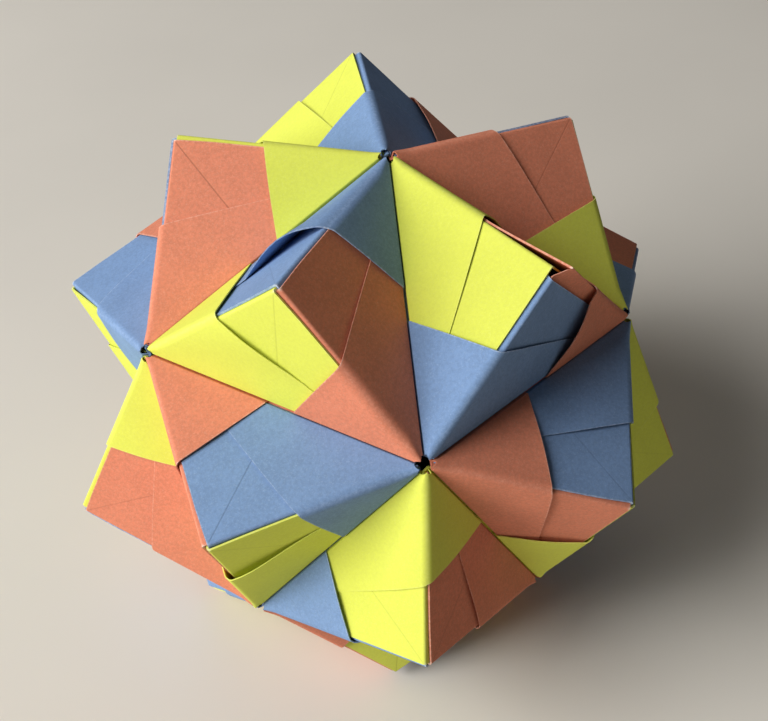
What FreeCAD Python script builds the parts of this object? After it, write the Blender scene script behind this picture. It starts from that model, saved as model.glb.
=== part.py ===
import FreeCAD, Part

import math
import os

# Kusudama ball of thirty folded paper modules, in millimetres, +Z up.
# The ball is an icosahedron with a three-sided pyramid on each of its twenty faces.
# Each module lies over one icosahedron edge. It carries one face of each of the two pyramids
# beside that edge, turns over a ridge of each and tucks its flap into the next module's pocket.
# The origin is on the surface that the ball stands on, under the middle of its bounding box.

doc = FreeCAD.newDocument("KusudamaBall")
Vector = FreeCAD.Vector
Rotation = FreeCAD.Rotation
Placement = FreeCAD.Placement

# Driving dimensions
DIMENSIONS = [
    ("sheet_side", 90.0),  # side of the square sheet that a module is folded from
    ("core_wall", 0.30),  # the pressed plies that make the faces and the flaps
    ("cap_wall", 0.15),  # the hemmed plies that wrap a corner and make the pocket
    ("layer_gap", 0.05),  # air between one pressed layer and the next
    ("valley_gap", 0.05),  # air between a flap's long edge and the pocket's fold beside it
    ("mouth_on_valley", 20.0),  # from the corner to the pocket's mouth, along the valley
    ("hem_length", 39.0),  # from the corner to the end of the hem, along the flap's long edge
    ("corner_opening", 1.0),  # from the middle of the opening at a five-way corner to its sides
    ("core_bend", 0.42),  # outer radius of the ridge fold in the pressed plies
    ("cap_bend", 0.45),  # outer radius of the ridge fold in the hemmed plies
]
sizes = doc.addObject("Spreadsheet::Sheet", "Sizes")
for row, (alias, value) in enumerate(DIMENSIONS, start=1):
    sizes.set(f"A{row}", alias)
    sizes.set(f"B{row}", str(value))
    sizes.setAlias(f"B{row}", alias)
doc.recompute()

# Lengths that follow from the driving dimensions, as expressions on the sheet's cells.
# Each layer lies between two levels, measured outwards from the inside of a face.
LEG = "(Sizes.sheet_side / 2 / sqrt(2))"  # a ridge, from a pyramid's apex to a corner
FLAP_INNER = "(Sizes.core_wall + Sizes.layer_gap)"
FLAP_OUTER = f"({FLAP_INNER} + Sizes.core_wall)"
BAND_INNER = f"({FLAP_OUTER} + Sizes.layer_gap)"
BAND_OUTER = f"({BAND_INNER} + Sizes.cap_wall)"
CAP_INNER = f"({BAND_OUTER} + Sizes.layer_gap)"
CAP_OUTER = f"({CAP_INNER} + Sizes.cap_wall)"
OPENING_DEPTH = f"(10 * {CAP_OUTER})"  # a corner opening runs this far each way
VALLEY_CLEARANCE = "(Sizes.cap_wall + Sizes.valley_gap)"
MOUTH_ON_RIDGE = ("(Sizes.mouth_on_valley * Sizes.hem_length * sqrt(2)"
                  " / (Sizes.mouth_on_valley + Sizes.hem_length))")
MOUTH_X = f"({LEG} - {MOUTH_ON_RIDGE})"
REACH = "Sizes.sheet_side"  # reaches past a module from anywhere on it

# The same geometry as numbers, for turns and for the places of the modules
RING = 5  # pyramids round a corner, and corners in a ring of the icosahedron
GOLDEN = (1 + math.sqrt(5)) / 2
edge = sizes.sheet_side / 2
leg = edge / math.sqrt(2)
apex_radius = edge * GOLDEN**2 / (2 * math.sqrt(3)) + edge / math.sqrt(6)
corner_radius = edge * math.sqrt(GOLDEN * math.sqrt(5)) / 2

# A pyramid is the corner of a cube. In the module's frame its apex is the origin and its ridges
# are the axes: X runs to the corner that the module caps, Y to the other end of its valley and
# Z to the pyramid's third corner. The outside of each face is its negative side.
ball_centre = Vector(1, 1, 1) * (apex_radius / math.sqrt(3))
valley_middle = Vector(leg / 2, leg / 2, 0)


def unit(vector):
    """The vector with its length made one."""
    return vector / vector.Length


def bind(item, **expressions):
    """Ties properties of an object to expressions on the sheet."""
    for name, expression in expressions.items():
        item.setExpression(name, expression)


def place(item, corner):
    """Ties an object's place to three expressions."""
    for axis, expression in zip("xyz", corner):
        item.setExpression(f"Placement.Base.{axis}", expression)


def plate(name, low, high):
    """A flat layer between two opposite corners, each given as three expressions."""
    item = doc.addObject("Part::Box", name)
    bind(item,
         Length=f"{high[0]} - ({low[0]})",
         Width=f"{high[1]} - ({low[1]})",
         Height=f"{high[2]} - ({low[2]})")
    place(item, low)
    return item


def past_plane(name, through, facing, depth=REACH):
    """A block that lies past a plane, through a point and towards facing."""
    item = doc.addObject("Part::Box", name)
    bind(item, Length=f"2 * {REACH}", Width=f"2 * {REACH}", Height=depth)
    item.Placement = Placement(Vector(), Rotation(Vector(0, 0, 1), facing))
    back = item.Placement.Rotation.multVec(Vector(-1, -1, 0))
    place(item, [f"{at} + ({step:.12f}) * {REACH}" for at, step in zip(through, back)])
    return item


def together(kind, name, *items):
    """One shape from several: Part::MultiFuse joins them and Part::MultiCommon keeps the overlap."""
    item = doc.addObject(kind, name)
    item.Shapes = list(items)
    return item


def without(name, base, *tools):
    """The base with each tool taken away in turn."""
    for count, tool in enumerate(tools, start=1):
        item = doc.addObject("Part::Cut", f"{name}{count}")
        item.Base, item.Tool = base, tool
        base = item
    return base


def level(expression):
    """The number that a length expression stands for."""
    return float(sizes.evalExpression(expression.replace("Sizes.", "")))


def fold(name, flat, across, y, z, radius):
    """Two plates joined at a ridge, with the outer edge of the fold, at y and z, rounded."""
    joined = together("Part::MultiFuse", f"{name}Sharp", flat, across)
    joined.Refine = True
    doc.recompute()
    near = Part.Vertex(Vector(leg / 2, y, z))
    distances = [side.distToShape(near)[0] for side in joined.Shape.Edges]
    item = doc.addObject("Part::Fillet", name)
    item.Base = joined
    item.Edges = [(distances.index(min(distances)) + 1, radius, radius)]
    return item


# Planes that trim a module. A valley plane holds a valley line and the ball's centre, so it
# halves the angle between the two pyramids beside that valley.
outward_at_valley = unit(valley_middle - ball_centre)
past_own_valley = unit(Vector(-1, 1, 0).cross(outward_at_valley)) * -1
past_next_valley = Vector(past_own_valley.x, past_own_valley.z, past_own_valley.y)
own_valley_point = [f"{LEG} / 2", f"{LEG} / 2", "0"]
next_valley_point = [
    f"{at} - ({step:.12f}) * {VALLEY_CLEARANCE}"
    for at, step in zip([f"{LEG} / 2", "0", f"{LEG} / 2"], past_next_valley)
]
beyond_own_valley = past_plane("BeyondOwnValley", own_valley_point, past_own_valley)
beyond_next_valley = past_plane("BeyondNextValley", next_valley_point, past_next_valley)

# The core: the face of the pyramid, and the flap that it becomes past the ridge
face_plate = plate(
    "FacePlate",
    ["Sizes.layer_gap", f"-{FLAP_OUTER}", "-Sizes.core_wall"],
    [LEG, LEG, "0"])
flap_plate = plate(
    "FlapPlate",
    ["Sizes.layer_gap", f"-{FLAP_OUTER}", "-Sizes.core_wall"],
    [LEG, f"-{FLAP_INNER}", LEG])
core = fold(
    "Core", face_plate, flap_plate, -level(FLAP_OUTER), -sizes.core_wall, sizes.core_bend)

# The cap: the hemmed plies over the same corner, with the pocket under them. The hem is one
# straight line on the flat sheet, so it leaves the ridge at the same angle on both faces.
cap_plate = plate(
    "CapPlate", ["0", f"-{BAND_OUTER}", f"-{CAP_OUTER}"], [LEG, LEG, f"-{CAP_INNER}"])
band_plate = plate(
    "BandPlate", ["0", f"-{BAND_OUTER}", f"-{CAP_OUTER}"], [LEG, f"-{BAND_INNER}", LEG])
cap = fold(
    "Cap", cap_plate, band_plate, -level(BAND_OUTER), -level(CAP_OUTER), sizes.cap_bend)
along = sizes.hem_length + sizes.mouth_on_valley
aside = sizes.hem_length - sizes.mouth_on_valley
past_mouth = together(
    "Part::MultiCommon", "PastMouth",
    past_plane("PastMouthPlane", [MOUTH_X, f"-{BAND_OUTER}", "0"], Vector(-along, aside, 0)),
    plate("MouthLevels",
          [f"-{REACH}", f"-{REACH}", f"-2 * {CAP_OUTER}"],
          [REACH, REACH, f"-{CAP_INNER} + Sizes.layer_gap / 2"]))
past_hem = together(
    "Part::MultiCommon", "PastHem",
    past_plane("PastHemPlane", [MOUTH_X, "0", f"-{CAP_OUTER}"], Vector(-along, 0, -aside)),
    plate("HemLevels",
          [f"-{REACH}", f"-2 * {CAP_OUTER}", f"-{REACH}"],
          [REACH, f"-{BAND_INNER} + Sizes.layer_gap / 2", REACH]))
trimmed_cap = without("TrimmedCap", cap, past_mouth, past_hem)

# The folds that close the pocket: one down into the valley, one round the flap's long edge
valley_fold = together(
    "Part::MultiCommon", "ValleyFold",
    past_plane("ValleyFoldWall", own_valley_point, past_own_valley * -1, "Sizes.cap_wall"),
    plate("ValleyFoldExtent",
          [f"{LEG} - Sizes.mouth_on_valley / sqrt(2)", f"-{BAND_OUTER}", f"-{CAP_OUTER}"],
          [f"{LEG} + {CAP_OUTER}", LEG, "0"]))
long_fold = together(
    "Part::MultiCommon", "LongFold",
    past_plane("LongFoldWall", next_valley_point, past_next_valley * -1, "Sizes.cap_wall"),
    plate("LongFoldExtent",
          ["0", f"-{BAND_OUTER}", f"-{CAP_OUTER}"],
          [f"{LEG} + {CAP_OUTER}", f"-{FLAP_INNER}", "Sizes.hem_length / sqrt(2)"]))


def corner_opening(name, axis):
    """The five-sided opening that the tips leave at the corner where a ridge axis ends."""
    corner = axis * leg
    radial = unit(corner - ball_centre)
    away = unit(axis - radial * axis.dot(radial))
    item = doc.addObject("Part::Prism", name)
    item.Polygon = RING
    bind(item, Circumradius="Sizes.corner_opening / cos(36)", Height=f"2 * {OPENING_DEPTH}")
    item.Placement = Placement(Vector(), Rotation(away, radial.cross(away), radial, "ZXY"))
    place(item, [f"{LEG} * {step:.0f} - ({lean:.12f}) * {OPENING_DEPTH}"
                 for step, lean in zip(axis, radial)])
    return item


# One half of the module, and the same half turned about the middle of its valley
half = without(
    "Half",
    together("Part::MultiFuse", "WholeHalf", core, trimmed_cap, valley_fold, long_fold),
    beyond_own_valley,
    beyond_next_valley,
    corner_opening("CappedOpening", Vector(1, 0, 0)),
    corner_opening("FarOpening", Vector(0, 1, 0)),
    corner_opening("ThirdOpening", Vector(0, 0, 1)))
half_turn = Rotation(outward_at_valley, 180)
turned_half = doc.addObject("Part::Compound", "TurnedHalf")
turned_half.Links = [half]
turned_half.Placement = Placement(Vector(), half_turn)
shift = Vector(1, 1, 0) - half_turn.multVec(Vector(1, 1, 0))
place(turned_half, [f"{LEG} / 2 * ({step:.12f})" for step in shift])
module = together("Part::MultiFuse", "Module", half, turned_half)
module.Refine = True
doc.recompute()
module_solid = module.Shape.Solids[0]

# The twelve corners of the icosahedron: top, an upper ring, a lower ring and bottom.
# Each ring runs clockwise as seen from above and its first corner is at the front, towards -Y.
TOP, UPPER, LOWER, BOTTOM = 0, 1, 1 + RING, 1 + 2 * RING
ring_height = corner_radius / math.sqrt(5)


def ring_corner(number, turn, height):
    """A corner on a ring, by its number and the ring's own turn in steps."""
    angle = -math.pi / 2 - (number + turn) * 2 * math.pi / RING
    return Vector(math.cos(angle), math.sin(angle), 0) * (2 * ring_height) + Vector(0, 0, height)


corners = [Vector(0, 0, corner_radius)]
corners += [ring_corner(k, 0, ring_height) for k in range(RING)]
corners += [ring_corner(k, 0.5, -ring_height) for k in range(RING)]
corners += [Vector(0, 0, -corner_radius)]

# The colour of each module, by belts of five valleys from the top down: no pyramid has two alike
COLOURS = {"B": "blue", "O": "orange", "Y": "yellow"}


def following(number):
    """The next corner round a ring."""
    return (number + 1) % RING


BELTS = [
    ("BYBOY", lambda k: (TOP, UPPER + k)),
    ("OOYBO", lambda k: (UPPER + k, UPPER + following(k))),
    ("BBOOB", lambda k: (UPPER + k, LOWER + k)),
    ("YYBYY", lambda k: (UPPER + following(k), LOWER + k)),
    ("OBYOO", lambda k: (LOWER + k, LOWER + following(k))),
    ("BYOBY", lambda k: (BOTTOM, LOWER + k)),
]


def seat(start, end):
    """The place of a module that caps corner start, on the pyramid clockwise of its valley."""
    for third, corner in enumerate(corners):
        lengths = [(corner - corners[k]).Length for k in (start, end)]
        turn = (corners[end] - corners[start]).cross(corner - corners[start])
        if max(lengths) < 1.1 * edge and min(lengths) > 0 and turn.dot(corners[start]) < 0:
            break
    apex = unit(corners[start] + corners[end] + corners[third]) * apex_radius
    axes = [unit(corners[k] - apex) for k in (start, end, third)]
    return Placement(apex, Rotation(*axes, "ZXY"))


# How the ball comes to rest: it leans over one tip of its lowest corner until two more points
# of its outline touch
LEAN_TOWARDS = LOWER + 3  # the lower corner that it leans to
OUTLINE_STEP = 0.4 * sizes.layer_gap  # how closely the outline's points follow the surface
LEAST_RUN = sizes.corner_opening  # points nearer to the tip than this carry nothing


def leaned(points, pivot, towards):
    """The turn about a level line through pivot that brings the next point down, and that point."""
    slopes = [((point.z - pivot.z) / (point - pivot).dot(towards), k)
              for k, point in enumerate(points) if (point - pivot).dot(towards) > LEAST_RUN]
    slope, touching = min(slopes)
    return Rotation(Vector(0, 0, 1).cross(towards), math.degrees(math.atan(slope))), touching


seats = [(COLOURS[letter], seat(*ends(k)))
         for letters, ends in BELTS for k, letter in enumerate(letters)]
outline = module_solid.tessellate(OUTLINE_STEP)[0]
upright = [place_of.multVec(point) for _, place_of in seats for point in outline]
towards = unit(Vector(corners[LEAN_TOWARDS].x, corners[LEAN_TOWARDS].y, 0))
base = min(point.z for point in upright)
tips = [k for k, point in enumerate(upright) if point.z < base + OUTLINE_STEP]
lowest = max(tips, key=lambda k: upright[k].dot(towards))
first_lean, second = leaned(upright, upright[lowest], towards)
tilted = [first_lean.multVec(point) for point in upright]
line = tilted[second] - tilted[lowest]
inward = unit(Vector(line.y, -line.x, 0))
if inward.dot(tilted[lowest]) > 0:
    inward = inward * -1
second_lean, third = leaned(tilted, tilted[lowest], inward)
resting = [second_lean.multVec(point) for point in tilted]
middle = [(min(values) + max(values)) / 2
          for values in ([point.x for point in resting], [point.y for point in resting])]
standing = Placement(Vector(-middle[0], -middle[1], -min(point.z for point in resting)),
                     second_lean.multiply(first_lean))

# The thirty modules, each in its place
modules = []
for colour in COLOURS.values():
    places = [place_of for name, place_of in seats if name == colour]
    for number, place_of in enumerate(places, start=1):
        item = doc.addObject("Part::Feature", f"{colour}_module_{number:02d}")
        item.Label = f"{colour}_module_{number:02d}"
        item.Shape = module_solid
        item.Placement = standing.multiply(place_of)
        modules.append(item)
doc.recompute()

for item in doc.Objects:
    if "Invalid" in item.State or "Error" in item.State:
        raise RuntimeError(f"{item.Label} failed: {item.State}")
if len(module.Shape.Solids) != 1:
    raise RuntimeError(f"the module has {len(module.Shape.Solids)} solids")
for item in modules:
    if item.Shape.isNull() or not item.Shape.isValid():
        raise RuntimeError(f"{item.Label} has no valid shape")

os.makedirs("parts", exist_ok=True)
for item in modules:
    item.Shape.exportStep(f"parts/{item.Label}.step")
print("lean", round(math.degrees(standing.Rotation.Angle), 2), "degrees")
print("module volume", round(module_solid.Volume, 3), "mm3")
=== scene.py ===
"""A kusudama ball of thirty folded paper modules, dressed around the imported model.

The ball is an icosahedron with a three-sided pyramid on each face. Each module lies over one
edge of the icosahedron, which is a valley between two pyramids. It carries one face of each,
turns over a ridge of each as a flap, and wraps the corner that it ends at with a hemmed cap.
Lengths of paper are in millimetres, and become metres where a mesh is made.
"""

import logging
import math
from dataclasses import dataclass, field
from enum import Enum

import bpy
import numpy as np
from mathutils import Matrix, Vector


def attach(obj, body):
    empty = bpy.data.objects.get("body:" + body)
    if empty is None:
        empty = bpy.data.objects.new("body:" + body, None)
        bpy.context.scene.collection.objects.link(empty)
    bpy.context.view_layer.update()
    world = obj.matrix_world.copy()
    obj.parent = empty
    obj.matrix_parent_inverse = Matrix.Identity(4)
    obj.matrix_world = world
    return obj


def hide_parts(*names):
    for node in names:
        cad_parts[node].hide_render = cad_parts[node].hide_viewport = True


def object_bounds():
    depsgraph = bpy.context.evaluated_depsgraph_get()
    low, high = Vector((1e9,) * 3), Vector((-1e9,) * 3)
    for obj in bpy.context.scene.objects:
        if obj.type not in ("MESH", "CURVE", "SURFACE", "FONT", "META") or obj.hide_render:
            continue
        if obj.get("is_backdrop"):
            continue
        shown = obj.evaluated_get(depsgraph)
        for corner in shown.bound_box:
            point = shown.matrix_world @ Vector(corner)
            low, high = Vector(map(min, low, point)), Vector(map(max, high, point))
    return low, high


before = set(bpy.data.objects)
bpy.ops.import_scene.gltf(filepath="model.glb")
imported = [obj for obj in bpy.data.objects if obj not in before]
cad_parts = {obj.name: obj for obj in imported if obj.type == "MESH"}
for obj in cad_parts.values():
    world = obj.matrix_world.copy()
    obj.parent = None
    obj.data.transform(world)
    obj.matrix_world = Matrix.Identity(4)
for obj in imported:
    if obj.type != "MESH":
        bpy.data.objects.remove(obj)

LOG = logging.getLogger("kusudama")
MM = 0.001
ROOT_2 = math.sqrt(2)
GOLDEN = (1 + math.sqrt(5)) / 2
RING = 5
TOP, UPPER, LOWER, BOTTOM = 0, 1, 1 + RING, 1 + 2 * RING
CORNERS = BOTTOM + 1
FIRST_SEED = 1000
SHARP_ANGLE = math.radians(50)


class Colour(Enum):
    """The three papers, by the word that starts a module's name."""

    BLUE = "blue"
    ORANGE = "orange"
    YELLOW = "yellow"


BY_LETTER = {colour.name[0]: colour for colour in Colour}


@dataclass(frozen=True)
class Sheet:
    """The square sheet and the sizes that it is folded to, in millimetres."""

    side: float = 90.0
    wall: float = 0.30
    hem_wall: float = 0.15
    air: float = 0.05
    mouth_on_valley: float = 20.0
    hem_length: float = 39.0
    opening: float = 0.95

    @property
    def edge(self) -> float:
        """The length of a valley."""
        return self.side / 2

    @property
    def leg(self) -> float:
        """The length of a ridge."""
        return self.edge / ROOT_2

    @property
    def apex_radius(self) -> float:
        """From the ball's centre to a pyramid's apex."""
        return self.edge * GOLDEN**2 / (2 * math.sqrt(3)) + self.edge / math.sqrt(6)

    @property
    def corner_radius(self) -> float:
        """From the ball's centre to a corner where five pyramids meet."""
        return self.edge * math.sqrt(GOLDEN * math.sqrt(5)) / 2

    @property
    def flap_level(self) -> float:
        """The outside of a flap, above the inside of the face that it lies on."""
        return 2 * self.wall + self.air

    @property
    def band_level(self) -> float:
        """The outside of the cap where it wraps its own module's flap."""
        return self.flap_level + self.air + self.hem_wall

    @property
    def cap_level(self) -> float:
        """The outside of the cap on its own face, over the next module's flap."""
        return self.band_level + self.air + self.hem_wall

    @property
    def valley_half_angle(self) -> float:
        """Between a face and the plane that halves its valley."""
        inwards = self.apex_radius / math.sqrt(3)
        return math.atan2(inwards, ROOT_2 * (inwards - self.leg / 2))


@dataclass(frozen=True)
class Handling:
    """How the hand that folded one half of a module left it, in millimetres.

    mouth and hem lengthen the cap along its two valleys. The lifts stand its free edges off
    what they cover, hem_peak being the share of the hem's open run where its lift is greatest.
    hem_curl is how much of the lift is kept for the hem itself, 1 lifting the cap from its tip
    on, and hem_round how gently the lift starts from the ridge.
    loose is the air under the whole cap, and cap_bend the radius of its fold over the ridge.
    swing stands the flap off at the apex and rise stands the ridge off its own face there.
    flap_end moves the flap's edge along, and crease is the depth of the line left from an earlier
    fold, drawn as a bump and as painted shade, from 0 to 1.
    """

    mouth: float = 0.0
    hem: float = 0.0
    mouth_lift: float = 0.12
    hem_lift: float = 0.10
    hem_peak: float = 0.5
    hem_curl: float = 3.0
    hem_round: float = 1.2
    swing: float = 0.10
    rise: float = 0.0
    flap_end: float = 0.0
    cap_bend: float = 1.3
    loose: float = 0.08
    crease: float = 0.5


@dataclass
class Rows:
    """How the rows of a ply are spaced from its tip to its outer edge: close at both ends."""

    near: tuple[float, ...] = (0.0, 0.10, 0.24, 0.6, 1.2)
    middle: int = 22

    def spread(self) -> tuple[np.ndarray, np.ndarray]:
        """The rows' places.

        Returns:
            Each row's fixed distance from the tip, and its share of the length left over.
        """
        near = np.array(self.near)
        share = np.linspace(0, 1, self.middle)
        fixed = np.concatenate([
            near[:-1], np.full(self.middle, near[-1]), self.fixed_total - near[-2::-1]])
        return fixed, np.concatenate([np.zeros(len(near) - 1), share, np.ones(len(near) - 1)])

    @property
    def fixed_total(self) -> float:
        """The length that the close rows take together."""
        return 2 * self.near[-1]


@dataclass
class Ply:
    """A right-angled triangle of pressed paper, folded by a quarter turn along its bisector.

    Its right angle is at a corner of the ball, one short side along the module's own valley
    and the other along the next valley. The bisector lies on the ridge between them. A point
    is given by its distance from the corner and its angle from the ridge, and is carried to
    the own face on one side of the ridge and to the next face on the other. Each size below
    has an own and a next value, one for each face.

    reach is the length of the short side, and level the outer skin's height over the inside
    of the face. clear is the gap to the plane that halves the valley. foot is the level that
    an edge turned down into the valley reaches, or None for an edge that stays flat. end is
    how far short of the apex the ply stops.
    """

    sheet: Sheet
    reach_own: float
    reach_next: float
    level_own: float
    level_next: float
    wall: float
    bend: float
    clear_own: float
    clear_next: float
    foot_own: float | None = None
    foot_next: float | None = None
    end_own: float = 0.0
    end_next: float = 0.0
    is_cap: bool = False
    handling: Handling = field(default_factory=Handling)
    rows: Rows = field(default_factory=Rows)
    face_columns: int = 14
    lip_bend: float = 0.28
    arc: tuple[float, ...] = (0.0, 0.12, 0.25, 0.4, 0.55, 0.7, 0.85, 1.0)

    QUARTER = math.pi / 4
    # The ridge's rise: where it starts, from the corner, and how wide it is, in millimetres
    RISE_START = 9.0
    RISE_WIDTH = 2.0
    # The shares of the quarter that a cut end's chamfer and the hem's lifted run take
    CHAMFER = 0.22
    LIFTED_RUN = 0.72
    # How sharply the lifts grow: powers of a share between 0 and 1
    FLAP_POWER = 1.15
    RISE_POWER = 1.2
    MOUTH_CURL = 3
    # Radii in millimetres: the least, the one at the tip, and its growth for each millimetre
    LEAST_RADIUS = 0.04
    TIP_RADIUS = 0.30
    RADIUS_GROWTH = 0.30
    BEND_SHARE = 0.55
    LIP_TURNS = 4

    def angles(self) -> np.ndarray:
        """The columns' angles from the ridge, the same on both sides.

        The first columns follow the bend, at fixed distances from the ridge, and the others
        share what is left of the 45 degrees up to the valley.

        Returns:
            An array of rows by columns, from the ridge to the valley.
        """
        fixed, share = self.rows.spread()
        length = self.sheet.leg if not self.is_cap else self.hem_distance(0.0)
        left = length - self.sheet.opening - self.rows.fixed_total
        along = self.sheet.opening + fixed + share * left
        arc = np.array(self.arc)
        across = np.minimum(arc * self.bend / along[:, None], self.BEND_SHARE * arc / ROOT_2)
        bend = np.arcsin(across)
        rest = np.linspace(0, 1, self.face_columns + 1)[1:]
        faces = bend[:, -1:] + rest * (self.QUARTER - bend[:, -1:])
        return np.concatenate([bend, faces], axis=1)

    def hem_distance(self, angle: np.ndarray | float) -> np.ndarray | float:
        """From the corner to the ply's outer edge, which is straight on the flat sheet."""
        turned = angle + self.QUARTER
        return 1 / (np.cos(turned) / self.reach_own + np.sin(turned) / self.reach_next)

    def distances(self, angle: np.ndarray, side: int, depth: float = 0.0) -> np.ndarray:
        """The points' distances from the corner.

        Args:
            angle: rows by columns, from the ridge, all positive.
            side: -1 on the own face, 1 on the next face.
            depth: how deep the skin lies under the ply's outer skin.

        Returns:
            Rows by columns, from the opening at the corner to the hem or the cut end.
        """
        fixed, share = self.rows.spread()
        far = self.hem_distance(side * angle)
        if not self.is_cap:
            at_ridge = max(self.end_own, self.end_next)
            beyond = (self.end_own if side < 0 else self.end_next) - at_ridge
            end = at_ridge + beyond * np.clip(angle / (self.CHAMFER * self.QUARTER), 0, 1)
            far = (self.sheet.leg - end - self.set_back(angle, side, depth)) / np.cos(angle)
            far = np.minimum(far, self.sheet.edge - self.sheet.opening)
        left = far - self.sheet.opening - self.rows.fixed_total
        return self.sheet.opening + fixed[:, None] + share[:, None] * left

    def free(self, distance: np.ndarray, angle: np.ndarray) -> np.ndarray:
        """How far points of the flap are out of the next module's pocket.

        Args:
            distance: from the corner.
            angle: from the ridge.

        Returns:
            A share for each point: 0 inside the pocket's mouth, 1 at the apex.
        """
        leg = self.sheet.leg
        hinge = leg - self.sheet.mouth_on_valley * self.sheet.hem_length * ROOT_2 / (
            self.sheet.mouth_on_valley + self.sheet.hem_length)
        outside = distance * np.cos(angle) / leg - distance * np.sin(angle) / hinge
        return np.clip(outside, 0, None) ** self.FLAP_POWER

    def lift_next(self, distance: np.ndarray, angle: np.ndarray) -> np.ndarray:
        """How far the paper on the next face stands out.

        The flap's swing grows towards the apex. The hem's lift is a half wave along its open
        run, times a power of the distance's share of the way to the hem.

        Args:
            distance: from the corner.
            angle: from the ridge.

        Returns:
            A length for each point.
        """
        hand = self.handling
        lift = hand.swing * self.free(distance, angle)
        if self.is_cap:
            run = np.clip(angle / (self.LIFTED_RUN * self.QUARTER), 0, 1)
            hump = np.sin(math.pi * run ** (math.log(0.5) / math.log(hand.hem_peak)))
            hump = np.clip(hump, 0, 1) ** hand.hem_round
            reach = (distance / self.hem_distance(angle)) ** hand.hem_curl
            lift = lift + hand.hem_lift * hump * reach
            lift = lift + hand.loose * (1 - run)
        return lift

    def lift_own(self, distance: np.ndarray, angle: np.ndarray) -> np.ndarray:
        """How far the paper on the own face stands out: the ridge's rise, and the mouth's lift.

        Args:
            distance: from the corner.
            angle: from the ridge.

        Returns:
            A length for each point.
        """
        along = (distance * np.cos(angle) - self.RISE_START) / (self.sheet.leg - self.RISE_START)
        across = 1 - distance * np.sin(angle) / self.RISE_WIDTH
        raised = (np.clip(along, 0, 1) * np.clip(across, 0, 1)) ** self.RISE_POWER
        lift = self.handling.rise * raised
        if self.is_cap:
            hump = np.sin(math.pi * np.clip(angle / self.QUARTER, 0, 1)) ** self.RISE_POWER
            reach = (distance / self.hem_distance(-angle)) ** self.MOUTH_CURL
            lift = lift + self.handling.mouth_lift * hump * reach
        return lift

    def edge_setback(self, level: float, clear: float, foot: float | None, depth: float) -> float:
        """From the valley line to the ply's straight part, along the face.

        Args:
            level: the skin's level over the inside of the face.
            clear: the gap between the ply and the plane that halves the valley.
            foot: the level that a turned-down edge reaches, or None.
            depth: how deep the skin lies under the ply's outer skin.

        Returns:
            The length that the straight part keeps from the valley.
        """
        half = self.sheet.valley_half_angle
        if foot is None:
            return level / math.tan(half) + clear / math.sin(half)
        corner = level / math.tan(half) + (clear + depth) / math.sin(half)
        return corner + max(self.lip_bend - depth, self.LEAST_RADIUS) * math.tan(half / 2)

    def set_back(self, angle: np.ndarray, side: int, depth: float) -> np.ndarray:
        """How far points are moved along the ridge so that the ply stays clear of its valley.

        Args:
            angle: from the ridge.
            side: -1 on the own face, 1 on the next face.
            depth: how deep the skin lies under the ply's outer skin.

        Returns:
            A length for each point, growing from nothing at the ridge to all at the valley.
        """
        level, clear, foot = ((self.level_own, self.clear_own, self.foot_own) if side < 0
                              else (self.level_next, self.clear_next, self.foot_next))
        near_ridge = np.tan(self.QUARTER - angle)
        return (1 - near_ridge) * self.edge_setback(level - depth, clear, foot, depth) / ROOT_2

    def lip(self, level: float, clear: float, foot: float, depth: float) -> np.ndarray:
        """The profile of an edge that turns down into the valley: an arc, then a straight end.

        Args:
            level: the skin's level over the inside of the face.
            clear: the gap between the edge and the plane that halves the valley.
            foot: the level that the edge reaches.
            depth: how deep the skin lies under the ply's outer skin.

        Returns:
            Pairs of a distance from the valley line and a level.
        """
        half = self.sheet.valley_half_angle
        radius = max(self.lip_bend - depth, self.LEAST_RADIUS)
        turn = np.linspace(0, half, self.LIP_TURNS + 1)[1:]
        start = self.edge_setback(level, clear, foot, depth)
        arc = np.stack([start - radius * np.sin(turn), level - radius * (1 - np.cos(turn))], axis=1)
        end = [[foot / math.tan(half) + (clear + depth) / math.sin(half), foot]]
        return np.concatenate([arc, end])

    def half_skin(self, side: int, depth: float) -> np.ndarray:
        """One side of the ridge, at a depth under the outer skin.

        A point's flat place on the ideal face is moved back from the valley where it is near
        it, and out past the ridge where it is near that. Points nearer to the ridge than the
        bend's radius are then laid on its arc.

        Args:
            side: -1 for the own face, 1 for the next face.
            depth: how deep the skin lies under the ply's outer skin.

        Returns:
            Rows by columns by three, from the ridge to the valley, as x, across and out.
        """
        own = side < 0
        levels = (self.level_own, self.level_next)
        level, beyond = levels if own else levels[::-1]
        clear, foot = (self.clear_own, self.foot_own) if own else (self.clear_next, self.foot_next)
        angle = self.angles()
        distance = self.distances(angle, side, depth)
        lifts = (self.lift_own, self.lift_next) if own else (self.lift_next, self.lift_own)
        out = level - depth + lifts[0](distance, angle)
        ridge = beyond - depth + lifts[1](distance[:, :1], angle[:, :1])
        along = distance * np.cos(self.QUARTER - angle)
        up = distance * np.sin(self.QUARTER - angle)
        near_ridge = up / along
        back = self.set_back(angle, side, depth)
        x = self.sheet.leg - (along + up) / ROOT_2 - back
        across = (along - up) / ROOT_2 - back - near_ridge * ridge
        radius = np.maximum(self.bend_radius(distance[:, :1]) - depth, self.LEAST_RADIUS)
        from_ridge = across + ridge
        turn = np.clip(1 - from_ridge / radius, 0, 1) * self.QUARTER
        bent = from_ridge < radius
        across = np.where(bent, radius * (1 - np.sin(turn)) - ridge, across)
        out = np.where(bent, out - radius * (1 - np.cos(turn)), out)
        points = np.stack([x, across, out], axis=2)
        if foot is None:
            return points
        profile = self.lip(level - depth, clear, foot, depth)
        reach = distance[:, -1:]
        lip = np.stack([
            self.sheet.leg - (reach + profile[:, 0]) / ROOT_2,
            (reach - profile[:, 0]) / ROOT_2,
            np.broadcast_to(profile[:, 1], (len(reach), len(profile))),
        ], axis=2)
        return np.concatenate([points, lip], axis=1)

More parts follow.
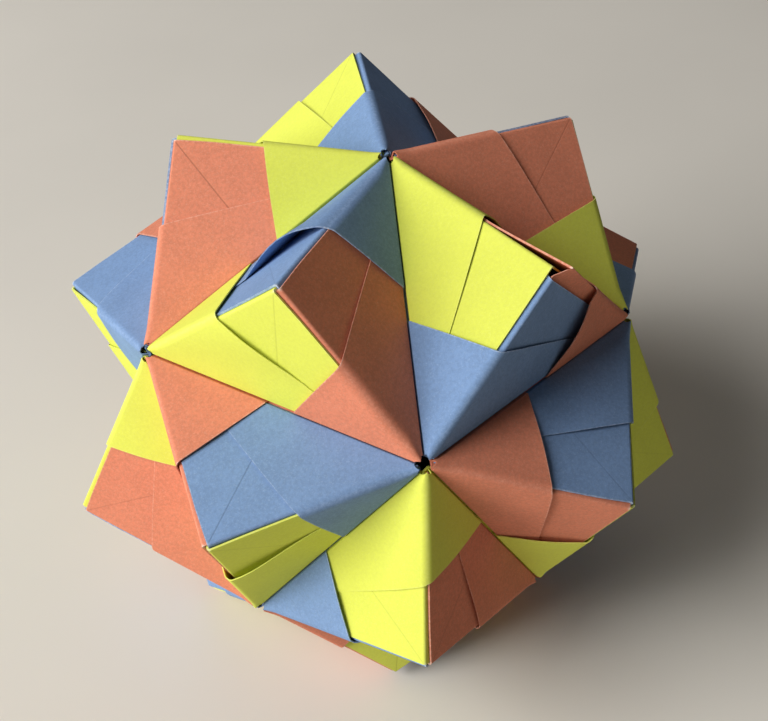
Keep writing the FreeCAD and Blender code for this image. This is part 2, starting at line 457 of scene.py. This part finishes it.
    def bend_radius(self, distance: np.ndarray) -> np.ndarray:
        """The outer radius of the bend, which tightens towards the tip."""
        return np.minimum(self.bend, self.TIP_RADIUS + self.RADIUS_GROWTH * distance)

    def skin(self, depth: float) -> np.ndarray:
        """The whole skin at a depth, from valley to valley over the ridge.

        Args:
            depth: how deep the skin lies under the ply's outer skin.

        Returns:
            Rows by columns by x, y and z, in the module's frame.
        """
        own, over = self.half_skin(-1, depth), self.half_skin(1, depth)
        own = np.stack([own[..., 0], own[..., 1], -own[..., 2]], axis=2)
        over = np.stack([over[..., 0], -over[..., 2], over[..., 1]], axis=2)
        return np.concatenate([own[:, :0:-1], over], axis=1)

    def marks(self) -> dict[str, np.ndarray]:
        """What the paper's finish reads at each point, as arrays of rows by columns.

        Returns:
            u and v, the place on the flat sheet as shares of a valley; rim, 1 along the outer
            edge; fold, 1 along the ridge; crease, the depth of the earlier fold's mark.
        """
        angle = self.angles()
        parts = []
        for side, foot in ((-1, self.foot_own), (1, self.foot_next)):
            distance = self.distances(angle, side)
            turned = side * angle + self.QUARTER
            grid = np.stack([distance * np.cos(turned), distance * np.sin(turned),
                             np.broadcast_to(self.fold_profile(), angle.shape)], axis=2)
            if foot is not None:
                lip = np.repeat(grid[:, -1:], self.LIP_TURNS + 1, axis=1)
                grid = np.concatenate([grid, lip], axis=1)
            parts.append(grid)
        whole = np.concatenate([parts[0][:, :0:-1], parts[1]], axis=1)
        rim = np.zeros(whole.shape[:2])
        rim[-2:] = 1
        return {"u": whole[..., 0] / self.sheet.edge, "v": whole[..., 1] / self.sheet.edge,
                "rim": rim, "fold": whole[..., 2],
                "crease": np.full(rim.shape, 0.0 if self.is_cap else self.handling.crease)}

    def fold_profile(self) -> np.ndarray:
        """How strongly the ridge's wear shows in each column."""
        return np.concatenate([1 - np.array(self.arc), np.zeros(self.face_columns)])


def closed(outer: np.ndarray, inner: np.ndarray) -> tuple[np.ndarray, np.ndarray]:
    """A closed shell from two skins of the same grid.

    Args:
        outer: rows by columns by three.
        inner: the same grid, a wall's thickness below.

    Returns:
        The vertices, outer skin first, and the quads: both skins and the strip round the rim.
    """
    rows, columns = outer.shape[:2]
    index = np.arange(rows * columns).reshape(rows, columns)

    def quads(a: np.ndarray, b: np.ndarray, c: np.ndarray, d: np.ndarray) -> np.ndarray:
        """Faces from four arrays of corners."""
        return np.stack([a.ravel(), b.ravel(), c.ravel(), d.ravel()], axis=1)

    top = quads(index[:-1, :-1], index[:-1, 1:], index[1:, 1:], index[1:, :-1])
    under = top[:, ::-1] + rows * columns
    loop = np.concatenate([index[0], index[1:, -1], index[-1, -2::-1], index[-2:0:-1, 0]])
    after = np.roll(loop, -1)
    rim = quads(after, loop, loop + rows * columns, after + rows * columns)
    vertices = np.concatenate([outer.reshape(-1, 3), inner.reshape(-1, 3)])
    faces = np.concatenate([top, under, rim])
    if signed_volume(vertices, faces) < 0:
        faces = faces[:, ::-1]
    return vertices, faces


def signed_volume(vertices: np.ndarray, faces: np.ndarray) -> float:
    """Six times the volume inside the quads, negative where they face inwards."""
    a, b, c, d = (vertices[faces[:, k]] for k in range(4))
    return float((np.cross(a, b) * c).sum() + (np.cross(a, c) * d).sum())


@dataclass
class Half:
    """One half of a module: its core and the cap that wraps its corner."""

    sheet: Sheet
    handling: Handling

    # How far a flap's edge runs past the apex where nothing moves it, in millimetres
    FLAP_PAST = 0.12

    def core(self) -> Ply:
        """The pressed plies of the face and the flap."""
        sheet, hand = self.sheet, self.handling
        return Ply(sheet, reach_own=sheet.edge, reach_next=sheet.edge,
                   level_own=sheet.wall, level_next=sheet.flap_level, wall=sheet.wall,
                   bend=0.45, clear_own=0.0, clear_next=0.42,
                   end_own=0.08, end_next=hand.flap_end - self.FLAP_PAST, handling=hand)

    def cap(self) -> Ply:
        """The hemmed plies that wrap the corner and make the pocket."""
        sheet, hand = self.sheet, self.handling
        return Ply(sheet, reach_own=sheet.mouth_on_valley + hand.mouth,
                   reach_next=sheet.hem_length + hand.hem,
                   level_own=sheet.cap_level + hand.loose, level_next=sheet.band_level,
                   wall=sheet.hem_wall, bend=hand.cap_bend, clear_own=0.03, clear_next=0.22,
                   foot_own=sheet.wall + 0.02, foot_next=sheet.wall + 0.04,
                   is_cap=True, handling=hand, rows=Rows(middle=16), face_columns=12)


@dataclass
class Seat:
    """A module's name and colour, the corners that its halves cap, and its place in the ball.

    The rows of axes are the directions of the module's x, y and z in the ball, and apex is
    its origin there, in millimetres.
    """

    name: str
    colour: Colour
    start: int
    end: int
    axes: np.ndarray
    apex: np.ndarray


@dataclass
class BallPlan:
    """Where the thirty modules sit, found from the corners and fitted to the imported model."""

    sheet: Sheet

    # The colours of a belt of modules by first letter, then the base and the step of the
    # corner that each first half caps, and the same for the second
    BELTS = (
        ("BYBOY", TOP, 0, UPPER, 0),
        ("OOYBO", UPPER, 0, UPPER, 1),
        ("BBOOB", UPPER, 0, LOWER, 0),
        ("YYBYY", UPPER, 1, LOWER, 0),
        ("OBYOO", LOWER, 0, LOWER, 1),
        ("BYOBY", BOTTOM, 0, LOWER, 0),
    )
    # Corners are neighbours up to this many times the length of a valley
    NEAR = 1.1

    def corners(self) -> np.ndarray:
        """The icosahedron's corners: top, upper ring, lower ring and bottom, on a unit radius."""
        height = 1 / math.sqrt(5)
        ring = np.arange(RING)
        rings = []
        for turn, level in ((0.0, height), (0.5, -height)):
            angle = -math.pi / 2 - (ring + turn) * 2 * math.pi / RING
            rings.append(np.stack([2 * height * np.cos(angle), 2 * height * np.sin(angle),
                                   np.full(RING, level)], axis=1))
        return np.concatenate([[[0, 0, 1]], *rings, [[0, 0, -1]]])

    def valleys(self) -> list[tuple[Colour, int, int]]:
        """Each module's colour and the two corners of its valley, belt by belt from the top."""
        found = []
        for letters, start, start_step, end, end_step in self.BELTS:
            for number, letter in enumerate(letters):
                corners = [base if base in (TOP, BOTTOM) else base + (number + step) % RING
                           for base, step in ((start, start_step), (end, end_step))]
                found.append((BY_LETTER[letter], *corners))
        return found

    def third_corner(self, corners: np.ndarray, start: int, end: int) -> int:
        """The corner that makes a pyramid with a valley, clockwise of it from outside.

        Args:
            corners: the icosahedron's corners.
            start: the corner that the valley runs from.
            end: the corner that it runs to.

        Returns:
            The corner's number.
        """
        near = self.NEAR * np.linalg.norm(corners[start] - corners[end])
        for third, corner in enumerate(corners):
            gaps = [np.linalg.norm(corner - corners[k]) for k in (start, end)]
            turn = np.cross(corners[end] - corners[start], corner - corners[start])
            if max(gaps) < near and min(gaps) > 0 and turn @ corners[start] < 0:
                return third
        raise ValueError(f"no pyramid lies clockwise of {start} to {end}")

    def seats(self) -> list[Seat]:
        """The thirty seats, in the row frame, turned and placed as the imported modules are."""
        corners = self.corners()
        named: list[tuple[str, Colour, int, int]] = []
        for colour in Colour:
            mine = [(start, end) for its, start, end in self.valleys() if its is colour]
            named += [(f"{colour.value}_module_{number:02d}", colour, start, end)
                      for number, (start, end) in enumerate(mine, start=1)]
        centroids = np.array([self.centroid(name) for name, *_ in named])
        middles = np.array([corners[start] + corners[end] for *_, start, end in named])
        centre = centroids.mean(axis=0)
        turn = self.best_turn(middles, centroids - centre)
        seats = []
        for name, colour, start, end in named:
            third = self.third_corner(corners, start, end)
            three = corners[[start, end, third]] * self.sheet.corner_radius
            apex = three.sum(axis=0)
            apex *= self.sheet.apex_radius / np.linalg.norm(apex)
            axes = (three - apex) / np.linalg.norm(three - apex, axis=1, keepdims=True)
            seats.append(Seat(name, colour, start, end, axes @ turn.T, turn @ apex + centre))
        return seats

    @staticmethod
    def centroid(node: str) -> np.ndarray:
        """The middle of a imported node's surface: its triangles' centres, weighed by area.

        Args:
            node: the node's name.

        Returns:
            Its place in millimetres.
        """
        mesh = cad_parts[node].data
        mesh.calc_loop_triangles()
        corners = np.zeros(len(mesh.vertices) * 3)
        mesh.vertices.foreach_get("co", corners)
        triangles = np.zeros(len(mesh.loop_triangles) * 3, dtype=np.int32)
        mesh.loop_triangles.foreach_get("vertices", triangles)
        a, b, c = corners.reshape(-1, 3)[triangles.reshape(-1, 3)].transpose(1, 0, 2)
        area = np.linalg.norm(np.cross(b - a, c - a), axis=1)
        return (area[:, None] * (a + b + c) / 3).sum(axis=0) / area.sum() / MM

    @staticmethod
    def best_turn(ideal: np.ndarray, found: np.ndarray) -> np.ndarray:
        """The rotation that lays one set of points on another with the least squared error.

        Args:
            ideal: points by three, before the turn.
            found: the same points, after it.

        Returns:
            The rotation, three by three.
        """
        left, _, right = np.linalg.svd(found.T @ ideal)
        sense = np.diag([1.0, 1.0, np.sign(np.linalg.det(left @ right))])
        return left @ sense @ right


@dataclass
class Module:
    """A folded sheet: one core over both faces, and a cap at each end."""

    sheet: Sheet
    seat: Seat
    handlings: tuple[Handling, Handling]

    def half_turn(self, points: np.ndarray) -> np.ndarray:
        """Turns points about the line through the valley's middle and the ball's centre.

        Args:
            points: any shape by three, in the module's frame.

        Returns:
            The same shape, turned by half a turn.
        """
        inwards = self.sheet.apex_radius / math.sqrt(3)
        middle = np.array([1.0, 1.0, 0.0]) * self.sheet.leg / 2
        axis = middle - inwards
        axis /= np.linalg.norm(axis)
        offset = points - middle
        return middle + 2 * (offset @ axis)[..., None] * axis - offset

    def core_grid(self, depth: float) -> np.ndarray:
        """The skin of the core at a depth, from flap to flap across the valley.

        Args:
            depth: how deep the skin lies under the core's outer skin.

        Returns:
            Rows by columns by three.
        """
        first, second = (Half(self.sheet, hand).core().skin(depth) for hand in self.handlings)
        second = self.half_turn(second)
        return np.concatenate([first[:, ::-1], second[::-1, 1:]], axis=1)

    def core_marks(self) -> dict[str, np.ndarray]:
        """The finish's marks on the core, joined as its skin is."""
        first, second = (Half(self.sheet, hand).core().marks() for hand in self.handlings)
        return {key: np.concatenate([first[key][:, ::-1], second[key][::-1, 1:]], axis=1)
                for key in first}

    def build(self, material: bpy.types.Material) -> bpy.types.Object:
        """Makes the module's mesh and dresses it.

        Args:
            material: the finish of its paper.

        Returns:
            The object, at the origin, with its place in its mesh.
        """
        core = Half(self.sheet, self.handlings[0]).core()
        shells = [(closed(self.core_grid(0.0), self.core_grid(core.wall)), self.core_marks())]
        for number, hand in enumerate(self.handlings):
            cap = Half(self.sheet, hand).cap()
            skins = [cap.skin(depth) for depth in (0.0, cap.wall)]
            if number:
                skins = [self.half_turn(skin) for skin in skins]
            shells.append((closed(*skins), cap.marks()))
        vertices, faces, marks, count = [], [], [], 0
        for (points, quads), mark in shells:
            vertices.append(points)
            faces.append(quads + count)
            marks.append({key: np.tile(value.ravel(), 2) for key, value in mark.items()})
            count += len(points)
        points = np.concatenate(vertices) @ self.seat.axes + self.seat.apex
        piece = mesh_object(
            self.seat.name.replace("module", "sheet"), points * MM, np.concatenate(faces),
            {key: np.concatenate([mark[key] for mark in marks]) for key in marks[0]})
        piece.data.materials.append(material)
        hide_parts(self.seat.name)
        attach(piece, "root")
        return piece


def mesh_object(name: str, points: np.ndarray, quads: np.ndarray,
                marks: dict[str, np.ndarray]) -> bpy.types.Object:
    """An object from whole arrays, with smooth faces and sharp cut edges.

    Args:
        name: the object's name.
        points: vertices by three, in metres.
        quads: faces by four.
        marks: a value for each vertex; u and v become the UV map, the others attributes.

    Returns:
        The object, linked to the scene.
    """
    mesh = bpy.data.meshes.new(name)
    mesh.from_pydata(points.tolist(), [], quads.tolist())
    mesh.update()
    loops = np.zeros(len(mesh.loops), dtype=np.int32)
    mesh.loops.foreach_get("vertex_index", loops)
    uv = np.stack([marks["u"], marks["v"]], axis=1)[loops]
    mesh.uv_layers.new(name="sheet").data.foreach_set("uv", uv.ravel())
    for key in sorted(set(marks) - {"u", "v"}):
        layer = mesh.attributes.new(key, "FLOAT", "POINT")
        layer.data.foreach_set("value", marks[key].astype(np.float32))
    mesh.polygons.foreach_set("use_smooth", np.ones(len(mesh.polygons), dtype=bool))
    mesh.set_sharp_from_angle(angle=SHARP_ANGLE)
    piece = bpy.data.objects.new(name, mesh)
    bpy.context.scene.collection.objects.link(piece)
    return piece


class Signal:
    """A number in a shader, so that a sum of signals reads as Python and adds Math nodes."""

    def __init__(self, bench: "Bench", socket: bpy.types.NodeSocket) -> None:
        self.bench = bench
        self.socket = socket

    def math(self, operation: str, *values: "Signal | float") -> "Signal":
        """One Math node over this signal and the values."""
        inputs = {number: value for number, value in enumerate((self, *values))}
        return Signal(self.bench, self.bench.add("ShaderNodeMath", {"operation": operation}, inputs))

    def flipped(self, operation: str, value: float) -> "Signal":
        """One Math node with the value first and this signal second."""
        return Signal(self.bench, self.bench.add(
            "ShaderNodeMath", {"operation": operation}, {0: value, 1: self}))

    def __add__(self, other: "Signal | float") -> "Signal":
        """This plus the other."""
        return self.math("ADD", other)

    __radd__ = __add__

    def __mul__(self, other: "Signal | float") -> "Signal":
        """This times the other."""
        return self.math("MULTIPLY", other)

    __rmul__ = __mul__

    def __sub__(self, other: "Signal | float") -> "Signal":
        """This minus the other."""
        return self.math("SUBTRACT", other)

    def __rsub__(self, other: float) -> "Signal":
        """A number minus this."""
        return self.flipped("SUBTRACT", other)

    def __abs__(self) -> "Signal":
        """This without its sign."""
        return self.math("ABSOLUTE")

    def ramp(self, low: float, high: float, start: float = 0.0, end: float = 1.0) -> "Signal":
        """A smooth step.

        Args:
            low: up to here the result is start.
            high: from here on it is end.
            start: the first result.
            end: the last result.

        Returns:
            The stepped signal.
        """
        return Signal(self.bench, self.bench.add(
            "ShaderNodeMapRange", {"interpolation_type": "SMOOTHSTEP"},
            {0: self, 1: low, 2: high, 3: start, 4: end}))


class Bench:
    """The node tree of one material, with one way to add a node."""

    def __init__(self, name: str) -> None:
        self.material = bpy.data.materials.new(name)
        self.material.use_nodes = True
        self.tree = self.material.node_tree
        self.tree.nodes.clear()

    def add(self, kind: str, settings: dict | None = None, inputs: dict | None = None,
            output: int | str = 0) -> bpy.types.NodeSocket | None:
        """Adds a node.

        Args:
            kind: the node's type.
            settings: properties of the node, set first.
            inputs: for each socket, by number or name, a value, a signal or another socket.
            output: which socket to return.

        Returns:
            The output socket, or None for a node that has none.
        """
        node = self.tree.nodes.new(kind)
        for key, value in (settings or {}).items():
            setattr(node, key, value)
        for key, value in (inputs or {}).items():
            value = value.socket if isinstance(value, Signal) else value
            if isinstance(value, bpy.types.NodeSocket):
                self.tree.links.new(value, node.inputs[key])
            else:
                node.inputs[key].default_value = value
        return node.outputs[output] if node.outputs else None

    def signal(self, *arguments: object, **named: object) -> Signal:
        """The output of a new node, as a signal."""
        return Signal(self, self.add(*arguments, **named))

    def attribute(self, name: str) -> Signal:
        """A vertex attribute of the piece."""
        return self.signal("ShaderNodeAttribute", {"attribute_name": name}, output="Fac")

    def noise(self, place: bpy.types.NodeSocket, size: float, detail: float = 2.0,
              roughness: float = 0.5) -> Signal:
        """Noise that varies in space.

        Args:
            place: the coordinates, in metres.
            size: about how large its features are, in metres.
            detail: how many finer layers it has.
            roughness: how strong they are.

        Returns:
            Values around one half.
        """
        return self.signal("ShaderNodeTexNoise", None, {
            "Vector": place, "Scale": 1 / size, "Detail": detail, "Roughness": roughness})

    def mix(self, share: Signal | float, first: object, second: object,
            blend: str = "MIX") -> bpy.types.NodeSocket:
        """A mix of two colours.

        Args:
            share: how much of the second, from 0 to 1.
            first: a colour or a socket.
            second: a colour or a socket.
            blend: how they blend.

        Returns:
            The mixed colour's socket.
        """
        return self.add("ShaderNodeMix", {"data_type": "RGBA", "blend_type": blend},
                        {0: share, 6: first, 7: second}, output=2)


def linear(red: int, green: int, blue: int) -> tuple[float, float, float, float]:
    """A screen colour as the light values that a shader takes.

    Args:
        red: up to 255, as the others.
        green: the second channel.
        blue: the third channel.

    Returns:
        Red, green, blue and an alpha of 1.
    """
    channels = np.array([red, green, blue]) / 255
    light = np.where(channels <= 0.04045, channels / 12.92, ((channels + 0.055) / 1.055) ** 2.4)
    return (*light.tolist(), 1.0)


@dataclass(frozen=True)
class PaperFinish:
    """Dyed paper: its colour, its fibres, its wear with painted highlight along folds and cut edges,
    and painted shade along its creases.
    """

    name: str
    dye: tuple[int, int, int]
    fibre: tuple[int, int, int]
    # The pale tint that folds and cut edges take, for wear and for painted highlight
    pale_wear_and_highlight: tuple[int, int, int]
    mottle: float = 1.0
    speckle: float = 0.5
    # How strongly cut edges and folds take the pale tint: wear and painted highlight
    rim_wear_and_highlight: float = 0.45
    fold_wear_and_highlight: float = 0.22

    # The sizes of the paper's clouds, felt and grain, in metres
    CLOUD, FELT, GRAIN = 0.006, 0.0005, 0.00022

    def material(self) -> bpy.types.Material:
        """The finish as a material.

        Returns:
            Matt paper: a mottled dye with pale fibres, lighter along folds and cut edges by wear and
                painted highlight, and darker along the crease by painted shade.
        """
        bench = Bench(self.name)
        place = bench.add("ShaderNodeTexCoord", output="Object")
        flat = bench.add("ShaderNodeSeparateXYZ", None, {
            0: bench.add("ShaderNodeUVMap", {"uv_map": "sheet"})}, output="X")
        u = Signal(bench, flat)
        v = Signal(bench, flat.node.outputs["Y"])
        cloud = bench.noise(place, self.CLOUD, 3.0)
        felt = bench.noise(place, self.FELT, 4.0, 0.65)
        grain = bench.noise(place, self.GRAIN, 3.0, 0.7)
        fleck = grain.ramp(0.50, 0.80) * self.speckle
        darker, lighter = 1 - 0.13 * self.mottle, 1 + 0.05 * self.mottle
        tone = bench.mix((cloud * 0.6 + felt * 1.4).ramp(0.70, 1.30),
                         shade(self.dye, darker), shade(self.dye, lighter))
        flecked = bench.mix(fleck, tone, linear(*self.fibre))
        patchy = felt.ramp(0.35, 0.65, 0.35, 1.0)
        # Folds and cut edges turn towards the pale tint: partly wear of the paper, partly painted
        # highlight where the edge catches the light
        fold = bench.attribute("fold").ramp(0.35, 1.0) * patchy * self.fold_wear_and_highlight
        rim = bench.attribute("rim").ramp(0.3, 0.9) * patchy * self.rim_wear_and_highlight
        from_apex = (abs(u - 0.5) + abs(v - 0.5)).ramp(0.004, 0.022, 1.0, 0.0)
        # The crease: a groove in the bump, and painted shade that darkens the dye along it
        crease = abs(v - 0.5).ramp(0.0008, 0.0040, 1.0, 0.0) * (0.5 - u).ramp(0.0, 0.02)
        crease = crease * bench.attribute("crease")
        wear_and_highlight = (fold + rim + from_apex * patchy * 0.5).ramp(0.0, 1.0)
        # Painted highlight and wear: the colour mixed towards the pale tint
        colour = bench.mix(wear_and_highlight, flecked, linear(*self.pale_wear_and_highlight))
        # Painted shade in the crease: the colour mixed towards the dye at 0.45
        colour = bench.mix(crease * 0.45, colour, shade(self.dye, 0.45))
        relief = felt * 0.35 + grain * 0.25 - crease * 1.2
        normal = bench.add("ShaderNodeBump", None, {
            "Strength": 0.35, "Distance": 0.00006, "Height": relief})
        rough = 0.80 + felt * 0.12
        surface = bench.add("ShaderNodeBsdfPrincipled", None, {
            "Base Color": colour, "Roughness": rough, "Specular IOR Level": 0.25,
            "Normal": normal})
        bench.add("ShaderNodeOutputMaterial", None, {"Surface": surface})
        return bench.material


def shade(colour: tuple[int, int, int], factor: float) -> tuple[float, float, float, float]:
    """A screen colour with its light multiplied by a factor.

    Args:
        colour: its channels, each up to 255.
        factor: what its light is multiplied by.

    Returns:
        Red, green, blue and an alpha of 1, as light values.
    """
    red, green, blue, _ = linear(*colour)
    return (red * factor, green * factor, blue * factor, 1.0)


# Each paper: its dye, its fibres, and the pale tint of wear and painted highlight on its edges
PAPERS = {
    Colour.YELLOW: PaperFinish("yellow_paper", (229, 235, 94), (243, 247, 170), (246, 246, 190),
                               mottle=0.4, speckle=0.3, rim_wear_and_highlight=0.3),
    Colour.ORANGE: PaperFinish("orange_paper", (230, 140, 108), (240, 188, 166), (243, 206, 186)),
    Colour.BLUE: PaperFinish("blue_paper", (127, 157, 199), (178, 200, 226), (206, 220, 238)),
}

# How the halves that the photograph shows were left, by the corner that the half caps and the
# corner at the other end of its valley
HANDLED = {
    (TOP, UPPER): Handling(hem_lift=2.2, hem_peak=0.55, hem_curl=2.2, hem_round=1.0, mouth_lift=0.25,
                           cap_bend=1.7, loose=0.12, swing=0.05, crease=0.35),
    (UPPER, TOP): Handling(flap_end=1.45, cap_bend=1.3, mouth_lift=0.12, crease=0.3),
    (TOP, UPPER + 4): Handling(mouth_lift=0.30, flap_end=0.35, cap_bend=1.2, crease=0.0),
    (UPPER, UPPER + 1): Handling(mouth_lift=0.25, cap_bend=1.7, loose=0.12, crease=0.0),
    (UPPER + 1, TOP): Handling(hem_lift=0.55, cap_bend=1.2, crease=0.5),
    (UPPER + 4, UPPER): Handling(mouth_lift=1.1, swing=1.0, rise=1.9, hem_lift=0.3, cap_bend=1.1,
                                 crease=0.1),
    (UPPER + 1, UPPER + 2): Handling(crease=1.0, hem_lift=0.02, cap_bend=1.3),
    (UPPER, LOWER): Handling(crease=1.0, hem_lift=0.05, mouth_lift=0.12, cap_bend=1.5),
    (LOWER, UPPER + 1): Handling(hem_lift=0.7, hem_peak=0.35, loose=0.30, cap_bend=1.0, crease=0.4),
}


def handling_of(capped: int, other: int) -> Handling:
    """The handling of a half: a listed one, or a drawn one that is the same at each run.

    Args:
        capped: the corner that the half caps.
        other: the corner at the other end of its valley.

    Returns:
        How the hand left it.
    """
    if (capped, other) in HANDLED:
        return HANDLED[capped, other]
    draw = np.random.default_rng(FIRST_SEED + capped * CORNERS + other)
    return Handling(
        mouth=draw.uniform(-0.6, 0.6), hem=draw.uniform(-0.8, 0.8),
        mouth_lift=draw.uniform(0.08, 0.45), hem_lift=draw.uniform(0.06, 0.45),
        hem_peak=draw.uniform(0.35, 0.6), swing=draw.uniform(0.0, 0.35),
        flap_end=draw.uniform(-0.05, 0.25), cap_bend=draw.uniform(1.0, 1.6),
        loose=draw.uniform(0.05, 0.16), crease=draw.uniform(0.0, 0.7))


@dataclass(frozen=True)
class Viewpoint:
    """The camera, at the photograph's angle.

    place and aim are in millimetres, roll in degrees, lens and film as the camera gives them,
    and the nearest and farthest distance seen in metres.
    """

    place: tuple[float, float, float] = (-22.9, -149.25, 196.0)
    aim: tuple[float, float, float] = (1.50, 0.98, 45.13)
    roll: float = 0.298
    lens: float = 59.24
    film: float = 36.0
    nearest: float = 0.01
    farthest: float = 10.0

    def build(self) -> bpy.types.Object:
        """Makes the camera and sets it as the scene's.

        Returns:
            The camera.
        """
        camera = bpy.data.objects.new("viewpoint", bpy.data.cameras.new("viewpoint"))
        bpy.context.scene.collection.objects.link(camera)
        place, aim = Vector(self.place) * MM, Vector(self.aim) * MM
        look = (aim - place).to_track_quat("-Z", "Y").to_matrix()
        turned = look @ Matrix.Rotation(math.radians(self.roll), 3, "Z")
        camera.matrix_world = Matrix.Translation(place) @ turned.to_4x4()
        camera.data.lens = self.lens
        camera.data.sensor_width = self.film
        camera.data.clip_start, camera.data.clip_end = self.nearest, self.farthest
        bpy.context.scene.camera = camera
        return camera


@dataclass(frozen=True)
class Lamp:
    """A soft rectangular lamp. Its place is in metres from the ball's middle."""

    name: str
    place: tuple[float, float, float]
    size: tuple[float, float]
    power: float
    tint: tuple[float, float, float] = (1.0, 1.0, 1.0)

    def build(self, middle: Vector) -> bpy.types.Object:
        """Makes the lamp, facing the middle.

        Args:
            middle: the middle of the ball.

        Returns:
            The lamp.
        """
        data = bpy.data.lights.new(self.name, "AREA")
        data.shape = "RECTANGLE"
        data.size, data.size_y = self.size
        data.energy = self.power
        data.color = self.tint
        lamp = bpy.data.objects.new(self.name, data)
        bpy.context.scene.collection.objects.link(lamp)
        place = Vector(self.place)
        turn = (-place).to_track_quat("-Z", "Y").to_matrix().to_4x4()
        lamp.matrix_world = Matrix.Translation(middle + place) @ turn
        return lamp


@dataclass(frozen=True)
class Studio:
    """The plain pale floor, the lamps and the pale surroundings."""

    floor: tuple[int, int, int] = (236, 230, 219)
    floor_half_width: float = 3.0
    ambient: float = 0.05
    ambient_tint: tuple[float, float, float, float] = (1.0, 0.97, 0.93, 1.0)
    lamps: tuple[Lamp, ...] = (
        Lamp("softbox", (-0.90, -0.24, 0.58), (0.60, 1.05), 16.0),
        Lamp("far_fill", (-0.12, 0.70, 0.84), (0.7, 0.7), 0.8),
    )

    def build(self) -> None:
        """Makes the floor, the world and the lamps."""
        half = self.floor_half_width
        mesh = bpy.data.meshes.new("floor")
        mesh.from_pydata([(-half, -half, 0), (half, -half, 0), (half, half, 0), (-half, half, 0)],
                         [], [(0, 1, 2, 3)])
        floor = bpy.data.objects.new("floor", mesh)
        bpy.context.scene.collection.objects.link(floor)
        floor.data.materials.append(self.floor_material())
        floor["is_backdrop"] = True
        world = bpy.data.worlds.new("surroundings")
        world.use_nodes = True
        backdrop = world.node_tree.nodes["Background"]
        backdrop.inputs["Color"].default_value = self.ambient_tint
        backdrop.inputs["Strength"].default_value = self.ambient
        bpy.context.scene.world = world
        low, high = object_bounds()
        for lamp in self.lamps:
            lamp.build((low + high) / 2)

    def floor_material(self) -> bpy.types.Material:
        """The floor's finish.

        Returns:
            A pale matt material with the faintest unevenness.
        """
        bench = Bench("pale_floor")
        place = bench.add("ShaderNodeTexCoord", output="Object")
        cloud = bench.noise(place, 0.08, 3.0)
        colour = bench.mix(cloud.ramp(0.3, 0.7), shade(self.floor, 0.98), shade(self.floor, 1.02))
        surface = bench.add("ShaderNodeBsdfPrincipled", None, {
            "Base Color": colour, "Roughness": 0.75, "Specular IOR Level": 0.2})
        bench.add("ShaderNodeOutputMaterial", None, {"Surface": surface})
        return bench.material


def main() -> None:
    """Builds the camera, the studio and the thirty modules."""
    logging.basicConfig(level=logging.INFO, format="%(message)s")
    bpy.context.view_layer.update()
    bpy.context.scene.view_settings.view_transform = "Standard"
    Viewpoint().build()
    Studio().build()
    sheet = Sheet()
    papers = {colour: finish.material() for colour, finish in PAPERS.items()}
    for seat in BallPlan(sheet).seats():
        handlings = (handling_of(seat.start, seat.end), handling_of(seat.end, seat.start))
        piece = Module(sheet, seat, handlings).build(papers[seat.colour])
        LOG.info("%s: %d faces", piece.name, len(piece.data.polygons))


if __name__ == "__main__":
    main()
